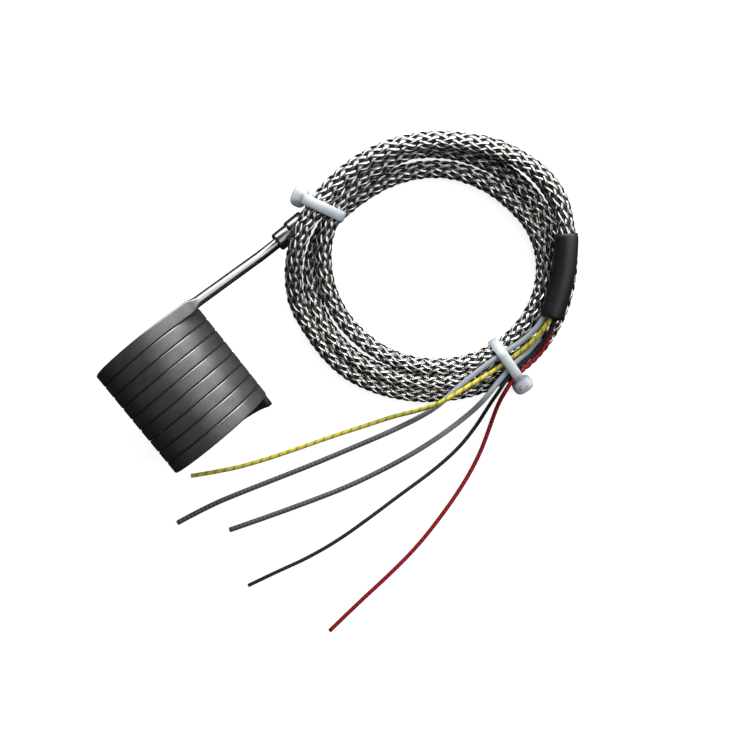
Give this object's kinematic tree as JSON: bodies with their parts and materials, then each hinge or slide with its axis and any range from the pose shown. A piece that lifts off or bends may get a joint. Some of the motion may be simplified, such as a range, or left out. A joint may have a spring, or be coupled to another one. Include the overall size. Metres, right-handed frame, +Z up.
{
  "type": "hot runner heater",
  "caption": "Nozzle heater with a flat sheathed element wound as a close coil round a plain bore, a round tail, a ferrule and a braided lead that is coiled, tied and ends in free wires.",
  "frame": {"origin": "centre of the bore, halfway along the winding", "axes": "+Y along the bore towards the end that the tail leaves, +Z up as the heater lies on its side on a bench, +X towards the coiled lead"},
  "size_m": [0.175, 0.1306, 0.0393],
  "materials": {
    "oxidised_sheath": "dark oxidised satin",
    "turned_steel": "turned bright",
    "steel_braid": "woven bright wire",
    "nickel": "drawn",
    "magnesia": "pressed powder",
    "alumina": "fired",
    "sealing_epoxy": "cast",
    "shrink_sleeve": "soft satin",
    "earth_insulation": "varnished glass braid",
    "power_insulation": "varnished glass braid",
    "black_insulation": "varnished glass braid",
    "red_insulation": "varnished glass braid",
    "natural_nylon": "moulded natural"
  },
  "bodies": {
    "root": {"heater_coil": "oxidised_sheath", "end_cap": "oxidised_sheath", "tail_insulation": "magnesia", "tail_seal": "sealing_epoxy", "pin_spacer": "alumina", "power_pin_1": "nickel", "power_pin_2": "nickel", "sensor_pin_iron": "nickel", "sensor_pin_constantan": "nickel", "power_splice_1": "nickel", "power_splice_2": "nickel", "sensor_splice_1": "nickel", "sensor_splice_2": "nickel", "ferrule": "turned_steel", "braid_crimp_ring": "turned_steel", "braid_lead_in": "steel_braid", "braid_coil": "steel_braid", "braid_lead_out": "steel_braid", "heat_shrink_sleeve": "shrink_sleeve", "earth_wire": "earth_insulation", "power_wire_1": "power_insulation", "power_wire_2": "power_insulation", "sensor_wire_black": "black_insulation", "sensor_wire_red": "red_insulation", "upper_cable_tie": "natural_nylon", "lower_cable_tie": "natural_nylon"}
  },
  "joints": []
}
